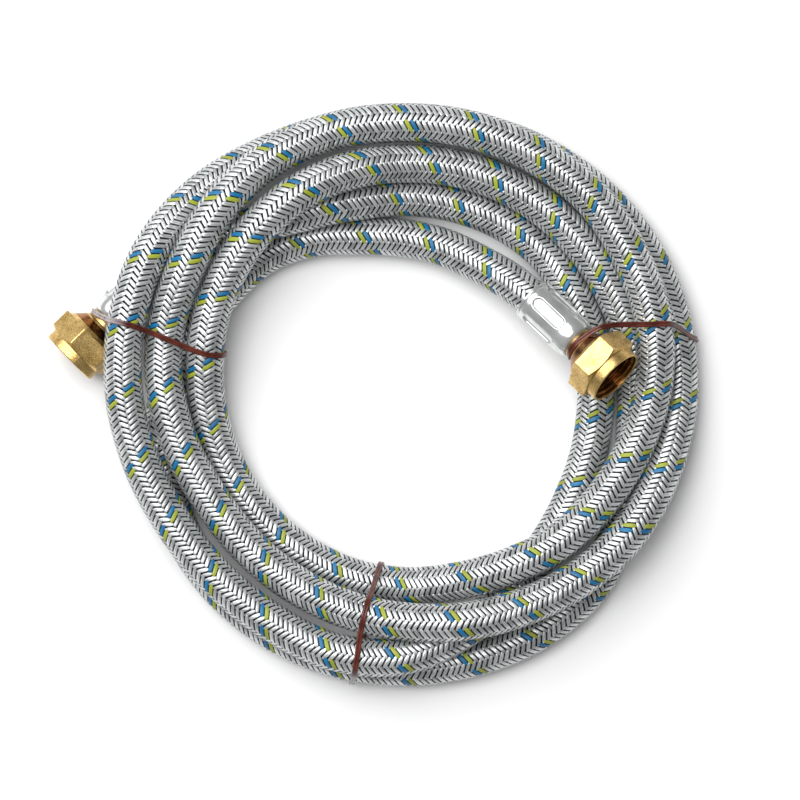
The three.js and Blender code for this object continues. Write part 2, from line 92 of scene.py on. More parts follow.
# Weave: each way has the same number of flat bundles, and each passes over two and under two.
# A float is the stretch of a bundle that lies on top, and the floats of one way form columns.
BUNDLES = 12
COLUMNS = 6
COLUMN_PHASE = 39.5 / 360
WEAVE_PITCH = 26.2 * MM
WEAVE_SHIFT = -2.0 * MM
WEAVE_TUCK = 1.6 * MM
SLEEVE_PIECES = 4
FLOAT_HALF_ANGLE = math.radians(24)
FLOAT_STATIONS = np.array((-1.0, -0.8, -0.55, -0.2, 0.2, 0.55, 0.8, 1.0))
FLOAT_LINES = np.array((-1.0, -0.5, 0.5, 1.0))
BUNDLE_WIDTH = 1.7 * MM
BUNDLE_RISE = 0.45 * MM
BUNDLE_CROWN = 0.17 * MM
RIGHT_HAND_LIFT = 0.08 * MM
RIGHT_HAND_TAPER_START = 0.52
LEFT_HAND_TAPER_START = 0.34
TAPER = 0.8
WIRES_PER_BUNDLE = 4

# Brightness of the floats: each draws its own at random from a range, and its two ends are darker with
# painted shade, where they dive under the crossing floats
TONE_SEED = 7
TONE_RANGE = (0.75, 1.12)
END_SHADE = 0.4

# Fittings: distances along a fitting are counted from the nut's open mouth towards the hose
HOSE_END = 21.7 * MM
NUT_FLATS = 24 * MM
COLLAR_RADIUS = 11.4 * MM
COLLAR_LENGTH = 3.9 * MM
NUT_CHAMFER = 1.25 * MM
NUT_EDGE = 0.3 * MM
MOUTH_BEVEL = 0.35 * MM
HEX_END = 12.4 * MM
HEX_MARGIN = 0.1 * MM
HEX_BACK_EDGE = 0.15 * MM
HEX_SOFTENING = 0.12 * MM
NUT_SHOULDER = ((11.25 * MM, 0.5 * MM), (10.2 * MM, 1.85 * MM), (8.6 * MM, 3.45 * MM))
NUT_BACK_RADIUS = 7.1 * MM
NUT_BACK_BEVEL = 0.2 * MM
NUT_LENGTH = 17.9 * MM
THREAD_PITCH = 1.814 * MM
THREAD_ROOT_RADIUS = 10.45 * MM
THREAD_CREST_RADIUS = 9.55 * MM
THREAD_START = 0.4 * MM
THREAD_FADE_START = 0.5 * MM
THREAD_LEAD_IN = 1.2 * MM
BORE_TOLERANCE = 0.01 * MM
OUTSIDE_MARGIN = 0.5 * MM
PAINT_MARGIN = 0.05 * MM
PAINT_END_MARGIN = 1 * MM
INNER_CLEARANCE = 0.25 * MM
WASHER_FRONT = 5.6 * MM
WASHER_BACK = 7.6 * MM
WASHER_HOLE_RADIUS = 5 * MM
WASHER_EDGE = 0.25 * MM
FLANGE_RADIUS = 9.3 * MM
FLANGE_FRONT = 7.9 * MM
FLANGE_BACK = 9.9 * MM
STEM_EDGE = 0.2 * MM
NECK_RADIUS = 6 * MM
NECK_BEAD_START = 20.0 * MM
NECK_BEAD_RISE = 0.45 * MM
NECK_BEAD_RAMP = 0.15 * MM
NECK_BEAD_LENGTH = 0.5 * MM
STEM_BORE_RADIUS = 3.2 * MM
STEM_TAIL_RADIUS = 4 * MM
STEM_TAIL_LENGTH = 19 * MM
STEM_TAIL_LEAD = 0.1 * MM
FERRULE_START = 20.7 * MM
FERRULE_END = 45.6 * MM
FERRULE_RADIUS = 8.5 * MM
FERRULE_WALL = 0.75 * MM
FERRULE_FRONT_WALL = 1.5 * MM
FERRULE_NOSE_RADIUS = 6.7 * MM
FERRULE_HOLE_RADIUS = 4.6 * MM
NOSE_BEVEL_WIDTH = 0.4 * MM
NOSE_BEVEL_LENGTH = 0.25 * MM
FERRULE_SHOULDER = 4.6 * MM
FERRULE_GRIP_GAP = 0.05 * MM
FERRULE_SHOULDER_POINTS = 9
FERRULE_LIP_WAVE = 0.15 * MM
FERRULE_LIP_FLARE = 0.1 * MM
RECESS_COUNT = 6
RECESS_LENGTH = 15.6 * MM
RECESS_WIDTH = 5.1 * MM
RECESS_DEPTH = 0.85 * MM
RECESS_EDGE = 0.5 * MM
RECESS_FLOOR_HALF_ANGLE = 0.3
BARREL_DEPTH = 0.7 * MM
RECESS_END_MARGIN = 3.2 * MM
RIM_OFFSET = 0.25 * MM
RIM_WIDTH = 0.3 * MM
RIM_HEIGHT = 0.06 * MM

# Places near the ferrule's lip, counted back from its end
LIP_WAVE_START = 1.6 * MM
LIP_WAVE_LOW = 1.3 * MM
LIP_WAVE_HIGH = 0.7 * MM
LIP_BORE_END = 1.8 * MM
GRIP_END = 2.2 * MM
BARREL_END = 1.7 * MM

# Steps that the fittings' sections and turns are split into
NUT_STEP = 0.24 * MM
NUT_INSIDE_STEP = 1.5 * MM
THREAD_STEP = 0.17 * MM
WASHER_STEP = 0.6 * MM
STEM_STEP = 1.2 * MM
FERRULE_STEP = 0.22 * MM
FERRULE_INSIDE_STEP = 2 * MM
ROUND_STEPS = 96
FERRULE_ROUND_STEPS = 288

# Places of the two nuts' mouths from the coil's eye, and the ways their axes run to the hose
LEFT_MOUTH = Vector((-127.3, 14.1, 14.2)) * MM
LEFT_HEADING = math.radians(44.1)
LEFT_TILT = 0.0
LEFT_NUT_ROLL = math.radians(17)
RIGHT_MOUTH = Vector((80.5, 6.4, 36.1)) * MM
RIGHT_HEADING = math.radians(136.2)
RIGHT_TILT = math.radians(-18)
RIGHT_NUT_ROLL = 0.0

# Ties: their section, the coil's angles in degrees at which each crosses the four strands, and
# the places on the neck and beside it that they pass round
TIE_RIB_RADIUS = 0.56 * MM
TIE_RIB_OFFSET = 0.52 * MM
TIE_RIB_WRAP = math.radians(155)
TIE_RIB_POINTS = 13
TIE_CLEARANCE = 0.1 * MM
TIE_WRAP_POINTS = 48
LEFT_TIE_ANGLES = (285, 284, 282.5, 282)
BOTTOM_TIE_ANGLES = (190.1, 189.1, 187.7, 190.6)
RIGHT_TIE_ANGLES = (77.5, 79.5, 74.5, 77)
STRAND_PASS = 20 * MM
NECK_STATION = 19.0 * MM
RIGHT_TIE_DETOUR = 10.0 * MM
RIGHT_TIE_SLANT = -0.6 * MM
RIGHT_TIE_DROP = 0.6 * MM
RIGHT_TIE_BEND_RADIUS = 1.5 * MM
TIE_SPACING = 0.7 * MM
TIE_STRAIGHTENING = 21
TIE_SMOOTHING = 5
TIE_HELD_TO = 9 * MM
TIE_FREE_FROM = 14 * MM
TIE_END_GAP = 0.7 * MM
# Painted highlight on the ties: where it starts, counted from the coil's eye, and over how long it
# grows
TIE_SHEEN_START = 108 * MM
TIE_SHEEN_LENGTH = 4 * MM

# Floor
FLOOR_SIZE = 3.0
FLOOR_DROP = 0.2 * MM
FLOOR_WHITE = (0.97, 0.97, 0.97, 1)
FLOOR_BOUNCE = (0.3, 0.3, 0.3, 1)

# The hose's route from the left fitting to the right one: angle in degrees clockwise from +Y,
# radius and height in millimetres, from the coil's eye
FIRST_TURN = [
    (-58.3, 101.3, 14.6), (-51.8, 95.8, 15.0), (-44.0, 88.5, 16.6), (-33.5, 81.2, 18.8),
    (-21.1, 77.0, 18.0), (-15, 76.0, 15.6), (0, 75.6, 9.8), (15, 75.8, 7.5), (30, 76.3, 7.4),
    (45, 76.6, 7.6), (60, 75.4, 9.0), (75, 74.3, 9.9), (90, 73.7, 9.0), (105, 74.1, 7.6),
    (120, 75.6, 7.4), (135, 79.0, 7.5), (150, 84.6, 8.6), (165, 92.0, 17.2), (180, 99.0, 23.2),
    (195, 100.8, 24.2), (210, 99.4, 22.8), (225, 99.0, 22.2), (240, 99.8, 22.6),
    (255, 102.4, 24.2), (270, 105.6, 27.9),
]
SECOND_TURN = [
    (285, 108.2, 31.6), (300, 109.8, 28.9), (315, 108.6, 19.4), (330, 105.8, 10.8),
    (345, 104.3, 7.6), (360, 103.8, 7.4), (375, 104.6, 7.4), (390, 105.8, 7.4),
    (405, 106.8, 7.6), (420, 107.2, 9.0), (435, 106.6, 9.9), (450, 105.5, 11.0),
    (465, 103.2, 17.4), (480, 100.8, 22.3), (495, 96.8, 23.6), (510, 92.4, 27.8),
    (525, 88.6, 32.6), (540, 85.6, 31.0), (555, 84.0, 25.0), (570, 82.8, 20.4),
    (585, 82.4, 18.6), (600, 83.0, 19.0), (615, 86.0, 21.2), (630, 90.0, 22.7),
]
THIRD_TURN = [
    (645, 93.2, 25.2), (660, 95.2, 31.9), (675, 99.3, 33.4), (690, 102.4, 27.4),
    (705, 103.7, 22.9), (720, 103.6, 22.3), (735, 104.0, 22.3), (750, 104.2, 22.3),
    (765, 103.4, 22.8), (780, 101.0, 24.2), (795, 98.8, 24.0), (810, 94.6, 22.6),
    (825, 89.4, 22.6), (840, 84.8, 22.2), (855, 80.8, 23.0), (870, 76.2, 22.3),
    (885, 73.6, 17.2), (900, 72.8, 11.2), (915, 72.2, 8.9), (930, 71.6, 7.5),
    (945, 71.6, 7.4), (960, 72.0, 7.8), (975, 73.2, 10.6), (990, 75.0, 16.6),
]
FOURTH_TURN = [
    (1005, 77.6, 22.8), (1020, 80.2, 26.6), (1035, 83.0, 31.2), (1050, 85.6, 33.0),
    (1065, 87.2, 26.8), (1080, 88.0, 19.0), (1095, 88.8, 16.0), (1110, 89.2, 15.6),
    (1125, 89.2, 16.0), (1140, 89.2, 14.6), (1155, 89.4, 11.2), (1170, 89.0, 8.2),
    (1185, 90.6, 7.4), (1200, 96.4, 7.4), (1215, 102.4, 7.4), (1230, 104.0, 7.4),
    (1245, 104.0, 7.4), (1260, 104.0, 8.6), (1275, 103.8, 9.4), (1290, 103.0, 8.0),
    (1305, 101.6, 7.4), (1320, 99.2, 7.4), (1335, 95.2, 7.7), (1350, 89.8, 9.4),
    (1365, 84.0, 10.3), (1380, 78.8, 9.8), (1395, 75.2, 8.2), (1410, 69.2, 7.4),
    (1425, 63.0, 7.4), (1440, 60.0, 7.8), (1455, 58.6, 9.6), (1470, 57.9, 13.2),
    (1482, 59.2, 17.3),
]
ROUTE = FIRST_TURN + SECOND_TURN + THIRD_TURN + FOURTH_TURN


# Camera

def make_camera():
    data = bpy.data.cameras.new("photo_camera")
    data.sensor_width = 36
    data.lens = data.sensor_width * CAMERA_HEIGHT / (PHOTO_SCALE * IMAGE_PIXELS)
    data.clip_end = 20
    camera = bpy.data.objects.new("photo_camera", data)
    camera.location = COIL_EYE + VIEW_OFFSET + Vector((0, 0, CAMERA_HEIGHT + FOCUS_HEIGHT))
    bpy.context.scene.collection.objects.link(camera)
    bpy.context.scene.camera = camera


make_camera()


# Fittings' local frames

class Fitting:
    """A fitting's own frame: mouth at the origin, its axis running to the hose."""

    def __init__(self, name, mouth, heading, tilt, nut_roll):
        level = math.cos(tilt)
        self.name = name
        self.mouth = COIL_EYE + mouth
        self.axis = Vector((level * math.cos(heading), level * math.sin(heading), math.sin(tilt)))
        self.side = Vector((0, 0, 1)).cross(self.axis).normalized()
        self.top = self.axis.cross(self.side)
        self.nut_roll = nut_roll

    def along(self, distance):
        return self.mouth + self.axis * distance

    def place(self, radius, distance, angle):
        """Points at a radius and an angle round the axis, as an array."""
        side = np.array(self.side)
        top = np.array(self.top)
        reach = np.cos(angle)[..., None] * side + np.sin(angle)[..., None] * top
        centre = np.array(self.mouth) + distance[..., None] * np.array(self.axis)
        return centre + radius[..., None] * reach


left = Fitting("left", LEFT_MOUTH, LEFT_HEADING, LEFT_TILT, LEFT_NUT_ROLL)
right = Fitting("right", RIGHT_MOUTH, RIGHT_HEADING, RIGHT_TILT, RIGHT_NUT_ROLL)


# Route

def catmull_rom(points, per_span):
    """A centripetal curve through the points, open at its ends."""
    padded = np.vstack([2 * points[0] - points[1], points, 2 * points[-1] - points[-2]])
    share = np.arange(per_span) / per_span
    curve = []
    for p0, p1, p2, p3 in zip(padded, padded[1:], padded[2:], padded[3:]):
        d0 = math.sqrt(np.linalg.norm(p1 - p0))
        d1 = math.sqrt(np.linalg.norm(p2 - p1))
        d2 = math.sqrt(np.linalg.norm(p3 - p2))
        t1 = ((p1 - p0) / d0 - (p2 - p0) / (d0 + d1) + (p2 - p1) / d1) * d1
        t2 = ((p2 - p1) / d1 - (p3 - p1) / (d1 + d2) + (p3 - p2) / d2) * d1
        square = -3 * p1 + 3 * p2 - 2 * t1 - t2
        cube = 2 * p1 - 2 * p2 + t1 + t2
        t = share[:, None]
        curve.append(p1 + t1 * t + square * t ** 2 + cube * t ** 3)
    curve.append(points[-1][None])
    return np.vstack(curve)


def evenly(points, spacing):
    """The same line with points a nearly equal distance apart."""
    along = np.r_[0, np.cumsum(np.linalg.norm(np.diff(points, axis=0), axis=1))]
    count = max(2, int(round(along[-1] / spacing)) + 1)
    at = np.linspace(0, along[-1], count)
    return np.stack([np.interp(at, along, points[:, k]) for k in range(3)], axis=1)


def route_points():
    """Straight inside the left ferrule, along the route, and straight into the right one."""
    ends = [HOSE_END + STRAIGHT_STEP * step for step in range(3)]
    ends.append(FERRULE_END + STRAIGHT_PAST_FERRULE)
    points = [np.array(left.along(distance)) for distance in ends]
    for degrees, radius, height in ROUTE:
        angle = math.radians(degrees)
        place = Vector((radius * math.sin(angle), radius * math.cos(angle), height)) * MM
        points.append(np.array(COIL_EYE + place))
    points += [np.array(right.along(distance)) for distance in reversed(ends)]
    return np.array(points)


def push_strands_apart(line):
    """Strands that pass too close move apart a little, and none sinks into the floor."""
    line = line.copy()
    wanted = 2 * HOSE_RADIUS + STRAND_GAP
    lag = int(OWN_STRETCH / ROUTE_SPACING)
    fixed = int((FERRULE_END - HOSE_END) / ROUTE_SPACING) + 2
    bell = np.exp(-0.5 * (np.arange(-BELL_REACH, BELL_REACH + 1) / BELL_WIDTH) ** 2)
    bell /= bell.sum()
    index = np.arange(len(line))
    apart = np.abs(index[:, None] - index[None]) > lag
    hold = np.ones(len(line))
    hold[:fixed] = 0
    hold[-fixed:] = 0
    for _ in range(RELAX_ROUNDS):
        between = line[:, None] - line[None]
        distance = np.linalg.norm(between, axis=2)
        short = np.where(apart, np.maximum(wanted - distance, 0), 0)
        if short.max() < RELAX_TOLERANCE:
            break
        nearest = short.argmax(axis=1)
        amount = short[index, nearest]
        way = between[index, nearest] / np.maximum(distance[index, nearest], 1e-9)[:, None]
        move = way * (RELAX_SHARE * amount * hold)[:, None]
        spread = np.stack([np.convolve(move[:, k], bell, "same") for k in range(3)], axis=1)
        line += OWN_PUSH * move + spread * hold[:, None]
        line[:, 2] = np.maximum(line[:, 2], HOSE_RADIUS + FLOOR_CLEARANCE)
    return line


class Hose:
    """The hose's centre line with frames that don't twist, for any distance along it."""

    def __init__(self):
        line = evenly(catmull_rom(route_points(), ROUTE_CURVE_STEPS), ROUTE_SPACING)
        self.coarse = push_strands_apart(line)
        fine = evenly(catmull_rom(self.coarse, FRAME_CURVE_STEPS), FRAME_SPACING)
        self.points = fine
        self.along = np.r_[0, np.cumsum(np.linalg.norm(np.diff(fine, axis=0), axis=1))]
        self.length = float(self.along[-1])
        tangent = np.gradient(fine, axis=0)
        self.tangent = tangent / np.linalg.norm(tangent, axis=1)[:, None]
        self.normal = self.untwisted_normals()
        self.binormal = np.cross(self.tangent, self.normal)

    def untwisted_normals(self):
        """Each normal is the one before it, made square to the line again."""
        normals = np.zeros_like(self.points)
        normal = np.cross(self.tangent[0], UP)
        for i, tangent in enumerate(self.tangent):
            normal = normal - tangent * normal.dot(tangent)
            normal /= np.linalg.norm(normal)
            normals[i] = normal
        return normals

    def at(self, values, distance):
        """Values of the line's points, read at any distances along it."""
        flat = distance.ravel()
        got = np.stack([np.interp(flat, self.along, values[:, k]) for k in range(3)], axis=1)
        return got.reshape(distance.shape + (3,))

    def surface(self, distance, angle, radius):
        """Points at a distance along the hose, an angle round it and a radius from its middle."""
        centre = self.at(self.points, distance)
        normal = self.at(self.normal, distance)
        binormal = self.at(self.binormal, distance)
        reach = np.cos(angle)[..., None] * normal + np.sin(angle)[..., None] * binormal
        return centre + radius[..., None] * reach


hose = Hose()


# Meshes

def grid_mesh(name, points, close_rows=False, close_columns=False, uv=None):
    """One mesh from patches of points: (patches, rows, columns, 3)."""
    patches, rows, columns, _ = points.shape
    index = np.arange(patches * rows * columns).reshape(patches, rows, columns)
    if close_rows:
        index = np.concatenate([index, index[:, :1]], axis=1)
    if close_columns:
        index = np.concatenate([index, index[:, :, :1]], axis=2)
    corners = (index[:, :-1, :-1], index[:, 1:, :-1], index[:, 1:, 1:], index[:, :-1, 1:])
    quads = np.stack(corners, axis=-1).reshape(-1, 4)
    mesh = bpy.data.meshes.new(name)
    mesh.vertices.add(patches * rows * columns)
    mesh.vertices.foreach_set("co", points.reshape(-1).astype(np.float32))
    mesh.loops.add(quads.size)
    mesh.loops.foreach_set("vertex_index", quads.reshape(-1).astype(np.int32))
    mesh.polygons.add(len(quads))
    mesh.polygons.foreach_set("loop_start", np.arange(0, quads.size, 4, dtype=np.int32))
    mesh.polygons.foreach_set("use_smooth", np.ones(len(quads), dtype=bool))
    mesh.update(calc_edges=True)
    if uv is not None:
        layer = mesh.uv_layers.new(name="wires")
        corner_uv = uv.reshape(-1, 2)[quads.reshape(-1)]
        layer.data.foreach_set("uv", corner_uv.reshape(-1).astype(np.float32))
    mesh.validate()
    return mesh


def set_point_values(mesh, name, values):
    layer = mesh.attributes.new(name, "FLOAT", "POINT")
    layer.data.foreach_set("value", values.reshape(-1).astype(np.float32))


def add_object(name, mesh, body, material, replaces=()):
    piece = bpy.data.objects.new(name, mesh)
    bpy.context.scene.collection.objects.link(piece)
    piece.data.materials.append(material)
    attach(piece, body)
    if replaces:
        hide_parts(*replaces)
    return piece


# Materials

def new_material(name):
    material = bpy.data.materials.new(name)
    material.use_nodes = True
    nodes = material.node_tree.nodes
    return material, nodes, material.node_tree.links, nodes["Principled BSDF"]


def add_noise(nodes, links, scale, detail):
    """Noise in the object's own space."""
    place = nodes.new("ShaderNodeTexCoord")
    noise = nodes.new("ShaderNodeTexNoise")
    noise.inputs["Scale"].default_value = scale
    noise.inputs["Detail"].default_value = detail
    links.new(place.outputs["Object"], noise.inputs["Vector"])
    return noise.outputs["Fac"]


def add_ramp(nodes, links, source, stops):
    """A colour for each level of the source, from (level, colour) pairs in rising order."""
    ramp = nodes.new("ShaderNodeValToRGB")
    ramp.color_ramp.elements[0].position = stops[0][0]
    ramp.color_ramp.elements[0].color = (*stops[0][1], 1)
    ramp.color_ramp.elements[1].position = stops[-1][0]
    ramp.color_ramp.elements[1].color = (*stops[-1][1], 1)
    for position, colour in stops[1:-1]:
        element = ramp.color_ramp.elements.new(position)
        element.color = (*colour, 1)
    links.new(source, ramp.inputs["Fac"])
    return ramp.outputs["Color"]


def add_bump(nodes, links, shader, height, distance, strength):
    bump = nodes.new("ShaderNodeBump")
    bump.inputs["Strength"].default_value = strength
    bump.inputs["Distance"].default_value = distance
    links.new(height, bump.inputs["Height"])
    links.new(bump.outputs["Normal"], shader.inputs["Normal"])


def add_math(nodes, links, operation, first, second=None):
    """One step of arithmetic; a plain number may stand for an input."""
    step = nodes.new("ShaderNodeMath")
    step.operation = operation
    for socket, value in zip(step.inputs, (first, second)):
        if value is None:
            continue
        if isinstance(value, (int, float)):
            socket.default_value = value
        else:
            links.new(value, socket)
    return step.outputs[0]


def wire_ridges(nodes, links):
    """Height of the fine wires across a bundle, lower at its middle and its edges. Fed into a colour,
    it also paints shade into the grooves between wires and along the bundle's edges.
    """
    place = nodes.new("ShaderNodeUVMap")
    place.uv_map = "wires"
    split = nodes.new("ShaderNodeSeparateXYZ")
    links.new(place.outputs["UV"], split.inputs["Vector"])
    across = split.outputs["Y"]
    height = None
    for waves, softness in ((WIRES_PER_BUNDLE, 0.35), (2, 0.3), (1, 0.5)):
        turns = add_math(nodes, links, "MULTIPLY", across, math.pi * waves)
        arches = add_math(nodes, links, "ABSOLUTE", add_math(nodes, links, "SINE", turns))
        part = add_math(nodes, links, "POWER", arches, softness)
        height = part if height is None else add_math(nodes, links, "MULTIPLY", height, part)
    return height


def read_point_values(nodes, name):
    reader = nodes.new("ShaderNodeAttribute")
    reader.attribute_name = name
    return reader.outputs["Fac"]


def braid_wire_material():
    """White metal wires, each float with its own tone, and painted shade that turns the grooves between
    wires, the bundle's edges and the float's ends near black.
    """
    material, nodes, links, shader = new_material("braid_wire")
    ridge_height_and_shade = wire_ridges(nodes, links)
    # Painted shade: the ridge height and the darker float ends lead the colour down to the near black
    # stop
    tone = add_math(nodes, links, "MULTIPLY", ridge_height_and_shade, read_point_values(nodes, "tone"))
    stops = [(0.24, (0.004, 0.005, 0.006)), (0.47, (0.38, 0.4, 0.41)), (0.74, (0.98, 1.0, 1.0))]
    links.new(add_ramp(nodes, links, tone, stops), shader.inputs["Base Color"])
    shader.inputs["Metallic"].default_value = 0.6
    shader.inputs["Roughness"].default_value = 0.3
    shader.inputs["Specular IOR Level"].default_value = 0.15
    add_bump(nodes, links, shader, ridge_height_and_shade, 0.12 * MM, 0.8)
    return material


def tracer_material(name, dark, bright):
    material, nodes, links, shader = new_material(name)
    ridge_height_and_shade = wire_ridges(nodes, links)
    # Painted shade: grooves, bundle edges and float ends take the dark colour
    tone = add_math(nodes, links, "MULTIPLY", ridge_height_and_shade, read_point_values(nodes, "tone"))
    links.new(add_ramp(nodes, links, tone, [(0.1, dark), (0.65, bright)]), shader.inputs["Base Color"])
    shader.inputs["Roughness"].default_value = 0.38
    add_bump(nodes, links, shader, ridge_height_and_shade, 0.1 * MM, 0.7)
    return material


# Near black: the dark liner, and painted shade for the shaded under-weave that shows between the floats
def core_material():
    material, nodes, links, shader = new_material("braid_core")
    grey = add_noise(nodes, links, 700, 2)
    colour = add_ramp(nodes, links, grey, [(0.3, (0.004, 0.004, 0.005)), (0.7, (0.02, 0.02, 0.022))])
    links.new(colour, shader.inputs["Base Color"])
    shader.inputs["Roughness"].default_value = 0.7
    shader.inputs["Specular IOR Level"].default_value = 0.05
    return material


def brass_material(name, dark, bright, roughness):
    """Cast brass: soft blotches, a fine grain that weighs more than twice as much, and pits."""
    material, nodes, links, shader = new_material(name)
    blotches = add_noise(nodes, links, 260, 4)
    grain = add_noise(nodes, links, 2300, 3)
    tone = add_math(nodes, links, "ADD", blotches, add_math(nodes, links, "MULTIPLY", grain, 2.2))
    level = add_math(nodes, links, "DIVIDE", tone, 3.2)
    colour = add_ramp(nodes, links, level, [(0.38, dark), (0.6, bright)])
    links.new(colour, shader.inputs["Base Color"])
    shader.inputs["Metallic"].default_value = 1.0
    shader.inputs["Roughness"].default_value = roughness
    pits = add_noise(nodes, links, 2200, 4)
    add_bump(nodes, links, shader, pits, 0.12 * MM, 0.8)
    return material


def ferrule_material():
    material, nodes, links, shader = new_material("ferrule_metal")
    tone = add_noise(nodes, links, 120, 3)
    colour = add_ramp(nodes, links, tone, [(0.3, (0.6, 0.62, 0.61)), (0.7, (0.88, 0.9, 0.89))])
    links.new(colour, shader.inputs["Base Color"])
    shader.inputs["Metallic"].default_value = 0.7
    shader.inputs["Roughness"].default_value = 0.2
    scuffs = add_noise(nodes, links, 600, 4)
    add_bump(nodes, links, shader, scuffs, 0.05 * MM, 0.3)
    return material


def washer_material():
    material, nodes, links, shader = new_material("washer_rubber")
    tone = add_noise(nodes, links, 400, 2)
    colour = add_ramp(nodes, links, tone, [(0.3, (0.012, 0.011, 0.011)), (0.7, (0.035, 0.032, 0.03))])
    links.new(colour, shader.inputs["Base Color"])
    shader.inputs["Roughness"].default_value = 0.65
    return material


# Painted shade: dark brown brass for the inside of the nut
def bore_shade_material():
    material, nodes, links, shader = new_material("nut_bore_shade")
    tone = add_noise(nodes, links, 500, 3)
    colour = add_ramp(nodes, links, tone, [(0.35, (0.11, 0.035, 0.008)), (0.7, (0.42, 0.17, 0.04))])
    links.new(colour, shader.inputs["Base Color"])
    shader.inputs["Metallic"].default_value = 1.0
    shader.inputs["Roughness"].default_value = 0.25
    return material


def tie_material():
    """Reddish brown, and greyish where the point values hold a painted highlight, on the tie's turn
    round the outside of the coil.
    """
    material, nodes, links, shader = new_material("tie_plastic")
    ripple = add_noise(nodes, links, 260, 2)
    brown = add_ramp(nodes, links, ripple, [(0.35, (0.06, 0.012, 0.008)), (0.65, (0.15, 0.035, 0.022))])
    # Painted highlight colour for the tie's turn round the outermost strand
    grey = add_ramp(nodes, links, ripple, [(0.35, (0.22, 0.17, 0.18)), (0.65, (0.42, 0.37, 0.38))])
    mix = nodes.new("ShaderNodeMix")
    mix.data_type = "RGBA"
    links.new(read_point_values(nodes, "painted_sheen"), mix.inputs["Factor"])
    links.new(brown, mix.inputs["A"])
    links.new(grey, mix.inputs["B"])
    links.new(mix.outputs["Result"], shader.inputs["Base Color"])
    shader.inputs["Roughness"].default_value = 0.25
    add_bump(nodes, links, shader, ripple, 0.05 * MM, 0.3)
    return material


BRAID_WIRE = braid_wire_material()
BLUE_YARN = tracer_material("tracer_blue", (0.002, 0.02, 0.06), (0.012, 0.2, 0.43))
GREEN_YARN = tracer_material("tracer_green", (0.05, 0.06, 0.004), (0.42, 0.48, 0.05))
CORE = core_material()
BRASS = brass_material("nut_brass", (0.42, 0.24, 0.06), (0.9, 0.65, 0.27), 0.38)
STEM_BRASS = brass_material("stem_brass", (0.5, 0.31, 0.1), (0.78, 0.55, 0.24), 0.32)
BORE_SHADE = bore_shade_material()
FERRULE_METAL = ferrule_material()
WASHER_RUBBER = washer_material()
TIE_PLASTIC = tie_material()


# Hose: a dark core, which also paints the shade between the floats, and the floats of the weave on it

def make_core():
    curve = bpy.data.curves.new("hose_core", "CURVE")
    curve.dimensions = "3D"
    curve.bevel_depth = CORE_RADIUS
    curve.bevel_resolution = 5
    curve.use_fill_caps = True
    spline = curve.splines.new("POLY")
    spline.points.add(len(hose.coarse) - 1)
    spline.points.foreach_set("co", np.c_[hose.coarse, np.ones(len(hose.coarse))].reshape(-1))
    return add_object("hose_core", curve, "hose", CORE, ("braided_sleeve", "inner_liner"))


def float_places(hand, first, last):
    """Middles of one hand's floats between two distances: distance, angle and bundle number.

    A right-hand bundle (hand 1) shows in every other column, a left-hand one (hand -1)
    in the columns between them.
    """
    column_turns = (np.arange(COLUMNS) + (0 if hand > 0 else 0.5)) / COLUMNS + COLUMN_PHASE
    distances = []
    angles = []
    bundles = []
    for turn in column_turns:
        start = hand * WEAVE_PITCH * turn + WEAVE_SHIFT
        low = math.ceil((first - start) * BUNDLES / WEAVE_PITCH)
        high = math.floor((last - start) * BUNDLES / WEAVE_PITCH)
        steps = np.arange(low, high + 1)
        distances.append(start + steps * WEAVE_PITCH / BUNDLES)
        angles.append(np.full(len(steps), 2 * math.pi * turn))
        bundles.append((-steps) % BUNDLES)
    return np.concatenate(distances), np.concatenate(angles), np.concatenate(bundles)


def float_half_width(along, hand):
    """Half a float's width, narrower at its ends, where it dives under its neighbours."""
    start = RIGHT_HAND_TAPER_START if hand > 0 else LEFT_HAND_TAPER_START
    taper = np.clip((np.abs(along) - start) / (1 - start), 0, 1)
    return BUNDLE_WIDTH / 2 * (1 - TAPER * taper)


def float_patches(hand, first, last):
    """One hand's floats between two distances: points, bundle numbers, wire places and tones, with
    painted shade at each float's ends.
    """
    middle_distance, middle_angle, bundles = float_places(hand, first, last)
    middle_distance = middle_distance[:, None, None]
    middle_angle = middle_angle[:, None, None]
    along = FLOAT_STATIONS[None, :, None]
    across = FLOAT_LINES[None, None, :]
    rise = BUNDLE_RISE * (1 - np.abs(along) ** 7) + BUNDLE_CROWN * (1 - across ** 2)
    lift = RIGHT_HAND_LIFT if hand > 0 else 0.0
    radius = HOSE_RADIUS - BUNDLE_RISE - BUNDLE_CROWN + rise + lift + 0 * middle_distance
    girth = 2 * math.pi * HOSE_RADIUS
    stride = math.hypot(girth, WEAVE_PITCH)
    half_width = float_half_width(along, hand)
    around = -hand * across * half_width * (WEAVE_PITCH / stride) / HOSE_RADIUS
    forward = across * half_width * (girth / stride)
    turned_by = along * FLOAT_HALF_ANGLE
    angle = middle_angle + turned_by + around
    distance = middle_distance + hand * WEAVE_PITCH * turned_by / (2 * math.pi) + forward
    points = hose.surface(distance, angle, radius)
    places = np.broadcast_arrays((along + 1) / 2, (across + 1) / 2, middle_distance)
    uv = np.stack(places[:2], axis=-1)
    own = tone_source.uniform(*TONE_RANGE, len(bundles))[:, None, None]
    # Painted shade: each float's random tone darkens towards its two ends
    tone = own * (1 - END_SHADE * along ** 6) + 0 * across
    return points, bundles, uv, tone


def add_weave_piece(name, parts, material):
    """One mesh from lists of float patches with their wire coordinates and tones, which carry painted
    shade at the float ends.
    """
    points, uv, tone = (np.concatenate([part[k] for part in parts]) for k in range(3))
    mesh = grid_mesh(name, points, uv=uv)
    set_point_values(mesh, "tone", tone)
    return add_object(name, mesh, "hose", material)


